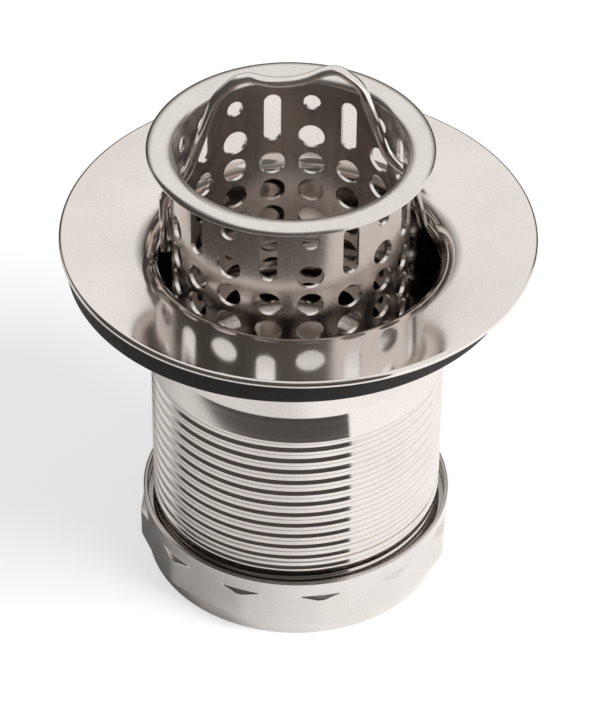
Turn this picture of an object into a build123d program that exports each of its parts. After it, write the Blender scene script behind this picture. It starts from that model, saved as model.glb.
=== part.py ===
from build123d import *
import math
import os

# Basket strainer waste for a small bar sink, standing on its coupling nut.
# Millimetres. +Z is up, and the origin is the centre of the nut's lower face.

# Drawn stainless body: flange, throat, neck and threaded barrel are one pressing.
sheet = 0.9
flange_radius = 38.0
flange_dish_angle = 8.0
throat_radius = 5.5
thread_radius = 23.9
neck_step = 0.9
neck_depth = 18.7
neck_taper_height = 4.6
barrel_length = 59.8
foot_radius = 2.0
ledge_width = 8.0

# Rubber sink gasket, loose under the flange and lying a little to the left.
gasket_edge_inset = 2.0
gasket_shift = 1.0
gasket_drop = 4.6
gasket_clearance = 0.02

# Coupling nut with twelve flats, a round collar above and a tapered ring below.
nut_flats = 12
nut_wall = 1.6
nut_flat_height = 6.2
nut_ring_height = 2.9
nut_ring_inset = 0.65
nut_corner_chamfer = 0.6
nut_collar_height = 2.7
nut_collar_gap = 1.0
nut_collar_wall = 0.75
nut_collar_round = 0.3
nut_corner_angle = 9.7
thread_clearance = 0.1
nut_lip = 2.0
tailpiece_inset = 4.85
tailpiece_clearance = 0.25

# Flat washer between the nut's lip and the end of the barrel.
washer_thickness = 2.2
washer_bore_clearance = 0.1
washer_edge_gap = 0.4

# Deep drawn basket, hung in the bore on the feet of its spring handle.
basket_sheet = 0.6
basket_clearance = 3.2
basket_shift = 1.3
basket_below_flange = 31.0
basket_corner_radius = 3.5
rim_overhang = 0.55
rim_height = 17.9
rim_rise = 0.3
rim_flare_radius = 1.4
rim_roll_radius = 1.0

# Perforations in columns round the basket. Slots and small holes alternate at the top.
# The punches have twelve flats in place of a circle, so that the many openings stay light.
columns = 18
punch_flats = 12
first_slot_angle = -10.0
slot_width = 2.8
slot_length = 9.0
slot_centre = 9.6
small_hole_diameter = 2.8
small_hole_height = 12.7
hole_diameter = 4.3
hole_pitch = 5.4
top_hole_height = 6.0
hole_rows = 7

# Bent round wire: two humps to lift by, through two slots, with a foot at each end.
# A bend's place is its distance out from the basket wall, then its height above the flange.
wire_diameter = 1.65
wire_slot_angles = (-90.0, 110.0)
foot_gap = 0.12
foot_height = -3.3
outer_bend = (0.8, 7.2)
inner_bend = (-2.8, 10.6)
hump_side = (-7.7, 26.2)
hump_top = (-11.6, 30.2)
hump_dip = 26.9
outer_bend_radius = 2.2
inner_bend_radius = 9.0
hump_side_radius = 7.0
hump_top_radius = 3.4
hump_dip_radius = 12.0

# Rubber stopper riveted under the basket, which closes the outlet when pushed down.
push_travel = 16.5
seal_gap = 0.2
stopper_inset = 0.9
stopper_lip_width = 4.0
stopper_lip_height = 1.6
stopper_hub_radius = 9.0
stopper_web = 4.2
stopper_shoulder_radius = 14.0
stopper_shoulder_drop = 1.6
stopper_wall = 3.2

# Rivet with its backing washer on the basket floor.
rivet_radius = 2.0
rivet_head_radius = 4.2
rivet_head_height = 1.3
rivet_clearance = 0.05
backing_washer_radius = 8.0
backing_washer_thickness = 0.9

# Radii worked out from the sizes above.
bore_radius = thread_radius - neck_step - sheet
outlet_radius = thread_radius - sheet - ledge_width
gasket_radius = flange_radius - gasket_edge_inset
nut_apothem = thread_radius + nut_wall
nut_ring_radius = nut_apothem - nut_ring_inset
nut_collar_bore = thread_radius + nut_collar_gap
nut_collar_radius = nut_collar_bore + nut_collar_wall
tailpiece_radius = thread_radius - tailpiece_inset
basket_radius = bore_radius - basket_clearance
basket_bore = basket_radius - basket_sheet
rim_radius = bore_radius + rim_overhang
stopper_radius = basket_radius - stopper_inset

# Heights worked out from the sizes above.
barrel_end = nut_lip + washer_thickness
seat = barrel_end + barrel_length
ledge_top = barrel_end + sheet
basket_floor = seat - basket_below_flange


def polar(centre, radius, degrees):
    """Point at an angle round a centre."""
    angle = math.radians(degrees)
    return (centre[0] + radius * math.cos(angle), centre[1] + radius * math.sin(angle))


def turned(draw):
    """Solid of revolution from a closed profile of radius and height."""
    with BuildPart() as solid:
        with BuildSketch(Plane.XZ):
            with BuildLine():
                draw()
            make_face()
        revolve(axis=Axis.Z)
    return solid.part


def throat_centre():
    """Centre of the shoulder arc, set so that the dished top runs tangent into it."""
    radius = bore_radius + throat_radius
    dish = math.radians(flange_dish_angle)
    edge_centre = flange_edge_centre()
    run = edge_centre[0] - radius
    rise = (throat_radius - sheet + run * math.sin(dish)) / math.cos(dish)
    return (radius, edge_centre[1] - rise)


def flange_edge_centre():
    """Centre of the flange's edge, which is rounded over the whole sheet."""
    return (flange_radius - sheet, seat)


def strainer_body():
    """Flange, throat, neck and barrel drawn from one sheet, with a ledge round the outlet."""
    throat = throat_centre()
    edge = flange_edge_centre()
    top = 90 + flange_dish_angle
    neck_end = seat - neck_depth
    thread_top = neck_end - neck_taper_height
    neck_radius = bore_radius + sheet
    barrel_bore = thread_radius - sheet
    inner_foot = foot_radius - sheet

    def profile():
        CenterArc(edge, sheet, 0, top)
        Line(polar(edge, sheet, top), polar(throat, throat_radius, top))
        CenterArc(throat, throat_radius, top, 180 - top)
        Polyline(
            (bore_radius, throat[1]),
            (bore_radius, neck_end),
            (barrel_bore, thread_top),
            (barrel_bore, ledge_top + inner_foot),
        )
        CenterArc((barrel_bore - inner_foot, ledge_top + inner_foot), inner_foot, 0, -90)
        Polyline(
            (barrel_bore - inner_foot, ledge_top),
            (outlet_radius, ledge_top),
            (outlet_radius, barrel_end),
            (thread_radius - foot_radius, barrel_end),
        )
        CenterArc((thread_radius - foot_radius, barrel_end + foot_radius), foot_radius, -90, 90)
        Polyline(
            (thread_radius, barrel_end + foot_radius),
            (thread_radius, thread_top),
            (neck_radius, neck_end),
            (neck_radius, throat[1]),
        )
        CenterArc(throat, throat_radius - sheet, 180, top - 180)
        Polyline(
            polar(throat, throat_radius - sheet, top),
            edge,
            (flange_radius, edge[1]),
        )

    return turned(profile)


def sink_gasket():
    """Rubber disc that fills the underside of the flange down to the sink."""
    bottom = seat - gasket_drop
    centre = throat_centre()
    radius = throat_radius - sheet - gasket_clearance
    start = 180 - math.degrees(math.asin((bottom - centre[1]) / radius))
    top = 90 + flange_dish_angle
    tangent = polar(centre, radius, top)
    reach = flange_radius
    rise = (reach - tangent[0]) * math.tan(math.radians(flange_dish_angle))

    def underside():
        CenterArc(centre, radius, start, top - start)
        Polyline(
            tangent,
            (reach, tangent[1] + rise),
            (reach, bottom),
            polar(centre, radius, start),
        )

    disc = Cylinder(gasket_radius, 2 * gasket_drop)
    return turned(underside) & Pos(-gasket_shift, 0, bottom) * disc


def coupling_nut():
    """Twelve-sided nut that draws a tailpiece up against the end of the barrel."""
    apothem = nut_apothem
    corner = apothem / math.cos(math.pi / nut_flats)
    flats_top = nut_ring_height + nut_flat_height
    collar_top = flats_top + nut_collar_height
    bore = thread_radius + thread_clearance
    lip_radius = tailpiece_radius + tailpiece_clearance
    round_off = nut_collar_round

    def envelope():
        Polyline(
            (lip_radius, 0),
            (nut_ring_radius, 0),
            (apothem, nut_ring_height),
            (corner, nut_ring_height + nut_corner_chamfer),
            (corner, flats_top - nut_corner_chamfer),
            (nut_collar_radius, flats_top),
            (lip_radius, flats_top),
            (lip_radius, 0),
        )

    def collar():
        Polyline(
            (nut_collar_radius, flats_top - nut_corner_chamfer),
            (nut_collar_radius, collar_top - round_off),
            (nut_collar_radius - round_off, collar_top),
            (nut_collar_bore, collar_top),
            (nut_collar_bore, flats_top),
            (bore, flats_top),
            (bore, flats_top - nut_corner_chamfer),
            (nut_collar_radius, flats_top - nut_corner_chamfer),
        )

    with BuildPart() as prism:
        with BuildSketch():
            RegularPolygon(apothem, nut_flats, major_radius=False, rotation=nut_corner_angle)
        extrude(amount=flats_top)
    body = prism.part & turned(envelope)
    body += turned(collar)
    threaded = Cylinder(bore, collar_top, align=(Align.CENTER, Align.CENTER, Align.MIN))
    return body - Pos(0, 0, nut_lip) * threaded


def tailpiece_washer():
    """Flat sealing washer on the nut's lip."""
    outer = thread_radius - washer_edge_gap
    inner = tailpiece_radius + washer_bore_clearance
    ring = Cylinder(outer, washer_thickness, align=(Align.CENTER, Align.CENTER, Align.MIN))
    hole = Cylinder(inner, washer_thickness, align=(Align.CENTER, Align.CENTER, Align.MIN))
    return Pos(0, 0, nut_lip) * (ring - hole)


def rim_slope(run, drop):
    """Angle at which one straight line touches the tops of the rim's flare and roll."""
    length = math.hypot(run, drop)
    return 90 - math.degrees(
        math.atan2(drop, run) - math.asin((rim_roll_radius - rim_flare_radius) / length)
    )


def basket_shell():
    """Drawn cup with a rolled rim, before it is perforated."""
    outer = basket_radius
    floor = basket_floor
    corner = basket_corner_radius
    crown = seat + rim_height
    flare_top = crown - rim_rise
    flare_centre = (basket_bore + rim_flare_radius, flare_top - rim_flare_radius)
    roll_centre = (rim_radius - rim_roll_radius, crown - rim_roll_radius)
    run = roll_centre[0] - flare_centre[0]
    slope = rim_slope(run, flare_centre[1] - roll_centre[1])

    def profile():
        Polyline(
            (0, floor + basket_sheet),
            (0, floor),
            (outer - corner, floor),
        )
        CenterArc((outer - corner, floor + corner), corner, -90, 90)
        Line((outer, floor + corner), (outer, flare_centre[1]))
        CenterArc(flare_centre, rim_flare_radius - basket_sheet, 180, slope - 180)
        Line(
            polar(flare_centre, rim_flare_radius - basket_sheet, slope),
            polar(roll_centre, rim_roll_radius - basket_sheet, slope),
        )
        CenterArc(roll_centre, rim_roll_radius - basket_sheet, slope, -slope)
        Line((rim_radius - basket_sheet, roll_centre[1]), (rim_radius, roll_centre[1]))
        CenterArc(roll_centre, rim_roll_radius, 0, slope)
        Line(
            polar(roll_centre, rim_roll_radius, slope),
            polar(flare_centre, rim_flare_radius, slope),
        )
        CenterArc(flare_centre, rim_flare_radius, slope, 180 - slope)
        Line((basket_bore, flare_centre[1]), (basket_bore, floor + corner))
        CenterArc(
            (outer - corner, floor + corner),
            corner - basket_sheet,
            0,
            -90,
        )
        Line((outer - corner, floor + basket_sheet), (0, floor + basket_sheet))

    return turned(profile)


def punch(outline, degrees, height):
    """Radial punch through one side of the basket wall, turned from the front."""
    reach = basket_radius + 2 * basket_sheet
    depth = 5 * basket_sheet
    tool = extrude(Plane.XZ * outline, amount=depth)
    tool = Pos(0, depth - reach, seat + height) * tool
    return Rot(0, 0, degrees) * tool


def round_outline(diameter):
    """Nearly round outline of a punch, with flats at its sides, top and bottom."""
    half_flat = 180 / punch_flats
    return RegularPolygon(
        diameter / 2, punch_flats, major_radius=False, rotation=half_flat
    )


def slot_outline():
    """Upright slot with nearly round ends."""
    end = round_outline(slot_width)
    end_offset = (slot_length - slot_width) / 2
    middle = Rectangle(slot_width, 2 * end_offset)
    return middle + Pos(0, end_offset) * end + Pos(0, -end_offset) * end


def perforations():
    """Every punched opening of the basket wall, column by column."""
    slot = slot_outline()
    small_hole = round_outline(small_hole_diameter)
    hole = round_outline(hole_diameter)
    punches = []
    for column in range(columns):
        degrees = first_slot_angle + column * 360 / columns
        slotted = column % 2 == 0
        if slotted:
            punches.append(punch(slot, degrees, slot_centre))
        else:
            punches.append(punch(small_hole, degrees, small_hole_height))
        first_row = 1 if slotted else 0
        for row in range(first_row, hole_rows):
            punches.append(punch(hole, degrees, top_hole_height - row * hole_pitch))
    return punches


def basket_cup():
    """Perforated basket with the rivet hole in its floor."""
    rivet_hole = Cylinder(rivet_radius + rivet_clearance, 4 * basket_sheet)
    cup = basket_shell() - perforations() - Pos(0, 0, basket_floor) * rivet_hole
    return Pos(-basket_shift, 0, 0) * cup


def wall_point(degrees):
    """Point on the basket's outer wall, counted from the front towards +X."""
    angle = math.radians(degrees)
    return Vector(
        basket_radius * math.sin(angle) - basket_shift,
        -basket_radius * math.cos(angle),
        seat,
    )


def foot_offset(plane, side):
    """Distance along the wire's plane to a foot that bears on the bore, left -1 or right 1."""
    reach = bore_radius - foot_gap - wire_diameter / 2
    along = plane.x_dir
    middle = plane.origin.dot(along)
    clear = plane.origin.X**2 + plane.origin.Y**2 - middle**2
    return side * math.sqrt(reach**2 - clear) - middle


def spring_handle():
    """Round wire bent in one upright plane through two slots of the basket."""
    left, right = [wall_point(degrees) for degrees in wire_slot_angles]
    along = (right - left).normalized()
    plane = Plane(origin=(left + right) / 2, x_dir=along, z_dir=along.cross(Vector(0, 0, 1)))
    bends = [
        (basket_radius + out, height)
        for out, height in (outer_bend, inner_bend, hump_side, hump_top)
    ]
    points = [(foot_offset(plane, -1), foot_height)]
    points += [(-x, z) for x, z in bends]
    points += [(0, hump_dip)]
    points += bends[::-1]
    points += [(foot_offset(plane, 1), foot_height)]
    side_radii = [outer_bend_radius, inner_bend_radius, hump_side_radius, hump_top_radius]
    radii = side_radii + [hump_dip_radius] + side_radii[::-1]
    with BuildPart() as wire:
        with BuildLine(plane) as path:
            FilletPolyline(*points, radius=radii)
        with BuildSketch(path.line ^ 0):
            Circle(wire_diameter / 2)
        sweep(path=path.line)
    return wire.part


def stopper():
    """Bell-shaped rubber stopper with a flat sealing lip."""
    top = basket_floor
    bottom = ledge_top + seal_gap + push_travel
    lip_inner = stopper_radius - stopper_lip_width
    lip_top = bottom + stopper_lip_height
    hole = rivet_radius + rivet_clearance
    underside = top - stopper_web

    def profile():
        Polyline(
            (hole, top),
            (stopper_hub_radius, top),
            (stopper_shoulder_radius, top - stopper_shoulder_drop),
            (stopper_radius, lip_top),
            (stopper_radius, bottom),
            (lip_inner, bottom),
            (stopper_shoulder_radius - stopper_wall, underside),
            (hole, underside),
            (hole, top),
        )

    return Pos(-basket_shift, 0, 0) * turned(profile)


def stopper_rivet():
    """Rivet through backing washer, basket floor and stopper, domed at both ends."""
    upper = basket_floor + basket_sheet + backing_washer_thickness
    lower = basket_floor - stopper_web
    sphere = (rivet_head_radius**2 + rivet_head_height**2) / (2 * rivet_head_height)
    half_dome = math.degrees(math.asin(rivet_head_radius / sphere))
    below = (0, lower - rivet_head_height + sphere)
    above = (0, upper + rivet_head_height - sphere)

    def profile():
        CenterArc(below, sphere, -90, half_dome)
        Polyline(
            (rivet_head_radius, lower),
            (rivet_radius, lower),
            (rivet_radius, upper),
            (rivet_head_radius, upper),
        )
        CenterArc(above, sphere, 90 - half_dome, half_dome)
        Line((0, upper + rivet_head_height), (0, lower - rivet_head_height))

    return Pos(-basket_shift, 0, 0) * turned(profile)


def backing_washer():
    """Steel washer that spreads the rivet's load on the basket floor."""
    centred_up = (Align.CENTER, Align.CENTER, Align.MIN)
    disc = Cylinder(backing_washer_radius, backing_washer_thickness, align=centred_up)
    hole = Cylinder(
        rivet_radius + rivet_clearance, backing_washer_thickness, align=centred_up
    )
    return Pos(-basket_shift, 0, basket_floor + basket_sheet) * (disc - hole)


pieces = {
    "strainer_body": strainer_body,
    "sink_gasket": sink_gasket,
    "coupling_nut": coupling_nut,
    "tailpiece_washer": tailpiece_washer,
    "basket_cup": basket_cup,
    "spring_handle": spring_handle,
    "stopper": stopper,
    "stopper_rivet": stopper_rivet,
    "backing_washer": backing_washer,
}

os.makedirs("parts", exist_ok=True)
for name, build in pieces.items():
    export_step(build(), f"parts/{name}.step")
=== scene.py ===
import logging
import math
from collections.abc import Callable, Mapping, Sequence
from dataclasses import dataclass
from enum import Enum
from functools import partial
from itertools import pairwise

import bpy
import bmesh
from mathutils import Matrix, Vector


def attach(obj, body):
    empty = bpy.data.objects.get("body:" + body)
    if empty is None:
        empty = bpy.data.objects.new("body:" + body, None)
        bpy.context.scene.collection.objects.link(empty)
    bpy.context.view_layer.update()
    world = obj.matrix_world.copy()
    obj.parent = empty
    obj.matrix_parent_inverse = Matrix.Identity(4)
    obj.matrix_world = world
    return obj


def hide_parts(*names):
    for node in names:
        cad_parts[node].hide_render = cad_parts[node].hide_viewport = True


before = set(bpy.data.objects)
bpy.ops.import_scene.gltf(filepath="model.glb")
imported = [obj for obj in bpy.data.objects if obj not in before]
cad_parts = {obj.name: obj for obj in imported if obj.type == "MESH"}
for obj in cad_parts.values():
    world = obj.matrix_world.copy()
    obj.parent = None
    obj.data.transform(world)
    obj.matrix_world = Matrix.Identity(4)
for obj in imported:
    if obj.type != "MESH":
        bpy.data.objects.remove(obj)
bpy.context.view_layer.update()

log = logging.getLogger("strainer_waste")

# Sizes are millimetres in the dataclasses, and this turns them into Blender's metres.
MM = 0.001

# How far the basket, with all that it carries, stands towards -X from the waste's axis.
BASKET_SHIFT = 1.3

Point = tuple[float, float]
Shaper = Callable[[float, float, float], float]
Tree = bpy.types.NodeTree
Socket = bpy.types.NodeSocket
Values = Mapping[str, object]


class Body(Enum):
    """The two bodies of the frame that the pieces ride on."""

    STRAINER = "strainer"
    BASKET = "basket"


class Grain(Enum):
    """Which way the marks of the last working step run."""

    ROUND = "round the axis, as a polishing wheel or a lathe leaves them"
    LOOSE = "in no direction, as plating or a moulded skin leaves them"


def towards(degrees: float) -> Point:
    """X and Y of the level direction at an angle from the front, which is -Y, towards +X."""
    angle = math.radians(degrees)
    return (math.sin(angle), -math.cos(angle))


# Outlines and meshes


@dataclass(frozen=True)
class Corner:
    """Corner of an outline, as a distance from the axis, a height and a rounding radius."""

    reach: float
    height: float
    rounding: float = 0.0


def arc(
    centre: Point, radius: float, start: float, end: float, upwards: float | None = None
) -> list[Point]:
    """Points along an arc, one about every five degrees.

    Args:
        centre: Centre of the arc.
        radius: Radius of the arc.
        start: Angle of the first point in degrees.
        end: Angle of the last point in degrees.
        upwards: Radius in height, where the arc is part of an ellipse.

    Returns:
        The points, both ends included.
    """
    high = radius if upwards is None else upwards
    steps = max(2, math.ceil(abs(end - start) / 5))
    angles = [math.radians(start + (end - start) * step / steps) for step in range(steps + 1)]
    return [(centre[0] + radius * math.cos(a), centre[1] + high * math.sin(a)) for a in angles]


def rounded(corners: Sequence[Corner], closed: bool = True) -> list[Point]:
    """Polygon or line whose corners are rounded by tangent arcs.

    Args:
        corners: The corners in order.
        closed: Whether the last corner joins the first one.

    Returns:
        The points of the rounded outline.
    """
    points: list[Point] = []
    count = len(corners)
    for index, corner in enumerate(corners):
        here = Vector((corner.reach, corner.height))
        at_end = not closed and index in (0, count - 1)
        if corner.rounding == 0 or at_end:
            points.append((here.x, here.y))
            continue
        before, after = corners[index - 1], corners[(index + 1) % count]
        back = (Vector((before.reach, before.height)) - here).normalized()
        ahead = (Vector((after.reach, after.height)) - here).normalized()
        half = back.angle(ahead) / 2
        middle = (back + ahead).normalized()
        centre = here + middle * (corner.rounding / math.sin(half))
        first = here + back * (corner.rounding / math.tan(half)) - centre
        turn = first.angle_signed(here + ahead * (corner.rounding / math.tan(half)) - centre)
        start = math.degrees(math.atan2(first.y, first.x))
        points += arc((centre.x, centre.y), corner.rounding, start, start - math.degrees(turn))
    return points


def divided(outline: Sequence[Point], longest: float) -> list[Point]:
    """Closed outline with points added so that no side is longer than a limit."""
    result: list[Point] = []
    for start, end in zip(outline, [*outline[1:], outline[0]]):
        parts = max(1, math.ceil(math.dist(start, end) / longest))
        for part in range(parts):
            share = part / parts
            result.append(tuple(a + (b - a) * share for a, b in zip(start, end)))
    return result


def soft_min(first: float, second: float, blend: float) -> float:
    """Smaller of two lengths, rounded over where they are nearly the same."""
    overlap = max(blend - abs(first - second), 0.0) / blend
    return min(first, second) - overlap * overlap * blend / 4


def turned(
    name: str,
    outline: Sequence[Point],
    steps: int = 192,
    shift: float = 0.0,
    shaper: Shaper | None = None,
) -> bpy.types.Object:
    """Closed mesh turned from an outline round an upright axis.

    Args:
        name: Name of the new object.
        outline: Closed outline as distances from the axis and heights.
        steps: Number of steps round the axis.
        shift: How far the axis stands towards -X from the middle.
        shaper: Gives the distance from the axis for a point's own distance, height and angle.

    Returns:
        The object, linked to the scene, with its place in its mesh.
    """
    vertices: list[tuple[float, float, float]] = []
    rings: list[list[int]] = []
    for reach, height in outline:
        if reach < 1e-6:
            rings.append([len(vertices)])
            vertices.append((-shift * MM, 0.0, height * MM))
            continue
        rings.append(list(range(len(vertices), len(vertices) + steps)))
        for step in range(steps):
            angle = 2 * math.pi * step / steps
            length = shaper(reach, height, angle) if shaper else reach
            x, y = length * math.cos(angle) - shift, length * math.sin(angle)
            vertices.append((x * MM, y * MM, height * MM))
    faces: list[tuple[int, ...]] = []
    for low, high in pairwise([*rings, rings[0]]):
        if len(low) == 1 and len(high) == 1:
            continue
        for step in range(steps):
            after = (step + 1) % steps
            if len(low) == 1:
                faces.append((low[0], high[after], high[step]))
            elif len(high) == 1:
                faces.append((low[step], low[after], high[0]))
            else:
                faces.append((low[step], low[after], high[after], high[step]))
    piece = mesh_object(name, vertices, faces)
    face_outwards(piece.data)
    return piece


def linked(name: str, data: bpy.types.ID) -> bpy.types.Object:
    """New object of a mesh, curve, lamp or camera, linked to the scene."""
    made = bpy.data.objects.new(name, data)
    bpy.context.scene.collection.objects.link(made)
    return made


def mesh_object(
    name: str, vertices: Sequence[Sequence[float]], faces: Sequence[Sequence[int]]
) -> bpy.types.Object:
    """New mesh object of some points and faces, linked to the scene."""
    mesh = bpy.data.meshes.new(name)
    mesh.from_pydata(vertices, [], faces)
    return linked(name, mesh)


def face_outwards(mesh: bpy.types.Mesh) -> None:
    """Merges doubles and turns every face of a closed mesh outwards."""
    work = bmesh.new()
    work.from_mesh(mesh)
    bmesh.ops.remove_doubles(work, verts=work.verts, dist=1e-7)
    bmesh.ops.recalc_face_normals(work, faces=work.faces)
    work.to_mesh(mesh)
    work.free()


def smoothed(piece: bpy.types.Object, crease: float = 32.0) -> None:
    """Shades a mesh smooth, apart from edges that turn more than an angle in degrees."""
    mesh = piece.data
    mesh.polygons.foreach_set("use_smooth", [True] * len(mesh.polygons))
    mesh.set_sharp_from_angle(angle=math.radians(crease))
    mesh.update()

# Nodes


def add_node(
    tree: Tree, kind: str, inputs: Mapping[str | int, object] | None = None, **settings: object
) -> bpy.types.Node:
    """Adds a node with its settings, values and links.

    Args:
        tree: The node tree.
        kind: Blender's name for the kind of node.
        inputs: Values, or sockets to link, by the input's name or number.
        **settings: Properties of the node.

    Returns:
        The new node.
    """
    node = tree.nodes.new(kind)
    for key, value in settings.items():
        setattr(node, key, value)
    for key, value in (inputs or {}).items():
        if isinstance(value, Socket):
            tree.links.new(value, node.inputs[key])
        else:
            node.inputs[key].default_value = value
    return node


def arithmetic(tree: Tree, operation: str, *values: object) -> Socket:
    """Output of one arithmetic step on numbers or sockets."""
    inputs = dict(enumerate(values))
    return add_node(tree, "ShaderNodeMath", inputs, operation=operation).outputs[0]


def joined_axes(tree: Tree, **axes: object) -> Socket:
    """Vector of the numbers or sockets given as X, Y and Z, with 0 for the rest."""
    return add_node(tree, "ShaderNodeCombineXYZ", axes).outputs[0]


def split_axes(tree: Tree, vector: Socket) -> bpy.types.NodeOutputs:
    """Outputs X, Y and Z of a vector."""
    return add_node(tree, "ShaderNodeSeparateXYZ", {"Vector": vector}).outputs


def length_of(tree: Tree, vector: Socket) -> Socket:
    """Length of a vector."""
    return add_node(tree, "ShaderNodeVectorMath", {0: vector}, operation="LENGTH").outputs["Value"]


def mapped(
    tree: Tree,
    value: object,
    span: tuple[object, object],
    result: tuple[object, object] = (0.0, 1.0),
    kind: str = "LINEAR",
) -> Socket:
    """Number that goes from one result to the other as a value crosses a span.

    Args:
        tree: The node tree.
        value: The value that crosses the span.
        span: Start and end of the span, as numbers or sockets.
        result: The number at the start and the one at the end.
        kind: Blender's name for the way between them.

    Returns:
        The socket with the number.
    """
    inputs = {
        "Value": value,
        "From Min": span[0],
        "From Max": span[1],
        "To Min": result[0],
        "To Max": result[1],
    }
    return add_node(tree, "ShaderNodeMapRange", inputs, interpolation_type=kind).outputs["Result"]


def object_place(tree: Tree) -> Socket:
    """Coordinates of the shaded point in its object."""
    return add_node(tree, "ShaderNodeTexCoord").outputs["Object"]


def new_material(name: str) -> bpy.types.Material:
    """Material with an empty node tree."""
    made = bpy.data.materials.new(name)
    made.use_nodes = True
    made.node_tree.nodes.clear()
    return made


def new_geometry_tree(name: str, values: Values) -> tuple[Tree, bpy.types.NodeOutputs]:
    """Geometry Nodes tree with an input for each value, and with Geometry in and out.

    Args:
        name: Name of the tree.
        values: A number or material by the name of its input.

    Returns:
        The tree with no output node yet, and the sockets of its inputs.
    """
    tree = bpy.data.node_groups.new(name, "GeometryNodeTree")
    face = tree.interface
    face.new_socket(name="Geometry", in_out="INPUT", socket_type="NodeSocketGeometry")
    face.new_socket(name="Geometry", in_out="OUTPUT", socket_type="NodeSocketGeometry")
    for key, value in values.items():
        kind = {float: "Float", int: "Int"}.get(type(value), "Material")
        face.new_socket(name=key, in_out="INPUT", socket_type=f"NodeSocket{kind}")
    return tree, add_node(tree, "NodeGroupInput").outputs


def close_geometry_tree(tree: Tree, shape: Socket, material: Socket) -> None:
    """Ends a tree in real, dressed geometry, because the export drops instances."""
    real = add_node(tree, "GeometryNodeRealizeInstances", {"Geometry": shape})
    dressed = add_node(
        tree,
        "GeometryNodeSetMaterial",
        {"Geometry": real.outputs["Geometry"], "Material": material},
    )
    add_node(tree, "NodeGroupOutput", {"Geometry": dressed.outputs["Geometry"]})


def grown(
    source: bpy.types.Object, tree_for: Callable[[Values], Tree], values: Values
) -> bpy.types.Object:
    """Plain mesh that a Geometry Nodes tree makes from an object, which it then replaces.

    Args:
        source: The object that the tree starts from.
        tree_for: Builds the tree for the values.
        values: Values of the tree's named inputs.

    Returns:
        The new object, under the source's name, with no modifier.
    """
    tree = tree_for(values)
    modifier = source.modifiers.new(tree.name, "NODES")
    modifier.node_group = tree
    sockets = {
        item.name: item.identifier
        for item in tree.interface.items_tree
        if item.item_type == "SOCKET" and item.in_out == "INPUT"
    }
    for key, value in values.items():
        modifier[sockets[key]] = value
    evaluated = source.evaluated_get(bpy.context.evaluated_depsgraph_get())
    mesh = bpy.data.meshes.new_from_object(evaluated)
    name = source.name
    source.modifiers.clear()
    bpy.data.objects.remove(source)
    mesh.name = name
    return linked(name, mesh)


# Finishes

# Parts of the range of one noise, and of two added, that are spread from end to end.
NOISE_SPAN = (0.3, 0.7)
SUM_SPAN = (0.6, 1.4)


def linear(colour: str) -> tuple[float, float, float, float]:
    """Linear colour with full alpha from an sRGB hex value such as #a0b0c0."""
    parts = [int(colour[start : start + 2], 16) / 255 for start in (1, 3, 5)]
    red, green, blue = [
        part / 12.92 if part <= 0.04045 else ((part + 0.055) / 1.055) ** 2.4 for part in parts
    ]
    return (red, green, blue, 1.0)


@dataclass(frozen=True)
class Finish:
    """What every finish has: two shades, a roughness and the marks of how it was made.

    The slot is the record's name for the material. The marks are as wide as grain_width. Clouds
    of the second shade are as wide as cloud_width, and flecks of it as wide as fleck_width. The
    axis of a turned piece stands shift towards -X from the middle.
    """

    name: str
    slot: str
    shade: str
    second_shade: str
    roughness: float
    roughness_spread: float
    grain: Grain
    grain_width: float
    cloud_width: float
    relief: float
    shift: float = 0.0
    fleck_width: float = 0.3

    def material(self) -> bpy.types.Material:
        """Builds the material once, and hands out the same one after that."""
        made = bpy.data.materials.get(self.name)
        if made is not None:
            return made
        made = new_material(self.name)
        tree = made.node_tree
        centred = add_node(
            tree,
            "ShaderNodeMapping",
            {"Vector": object_place(tree), "Location": (self.shift * MM, 0, 0)},
        ).outputs["Vector"]

        def noise(place: Socket, width: float, detail: float) -> Socket:
            """Noise whose patches have a width in millimetres."""
            inputs = {"Vector": place, "Scale": 1 / (width * MM), "Detail": detail}
            return add_node(tree, "ShaderNodeTexNoise", inputs).outputs["Fac"]

        marks = noise(self.marks_place(tree, centred), self.grain_width, 3.0)
        clouds = noise(centred, self.cloud_width, 2.0)
        flecks = noise(centred, self.fleck_width, 1.0)
        mixture = mapped(tree, arithmetic(tree, "ADD", clouds, flecks), SUM_SPAN)
        colour = add_node(
            tree,
            "ShaderNodeMix",
            {0: mixture, 6: linear(self.shade), 7: linear(self.second_shade)},
            data_type="RGBA",
        ).outputs[2]
        low, high = self.roughness - self.roughness_spread, self.roughness + self.roughness_spread
        roughness = mapped(tree, marks, NOISE_SPAN, (low, high))
        relief = {"Height": marks, "Strength": 1.0, "Distance": self.relief * MM}
        bump = add_node(tree, "ShaderNodeBump", relief).outputs["Normal"]
        shader = add_node(
            tree,
            "ShaderNodeBsdfPrincipled",
            {"Base Color": colour, "Roughness": roughness, "Normal": bump, **self.substance()},
        )
        add_node(tree, "ShaderNodeOutputMaterial", {"Surface": shader.outputs["BSDF"]})
        return made

    def substance(self) -> dict[str, float]:
        """Values of the shader that the substance itself sets."""
        return {}

    def marks_place(self, tree: Tree, centred: Socket) -> Socket:
        """Coordinates in which the marks run the way of the grain.

        Args:
            tree: The material's node tree.
            centred: Object coordinates, measured from the piece's axis.

        Returns:
            The socket to read the marks' pattern at.
        """
        if self.grain is Grain.LOOSE:
            return centred
        split = split_axes(tree, centred)
        flat = joined_axes(tree, X=split["X"], Y=split["Y"])
        return joined_axes(tree, X=length_of(tree, flat), Z=split["Z"])


@dataclass(frozen=True)
class BareMetal(Finish):
    """Bare or plated metal, which mirrors its surroundings in its own shade."""

    def substance(self) -> dict[str, float]:
        """Metal all through."""
        return {"Metallic": 1.0}


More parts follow.
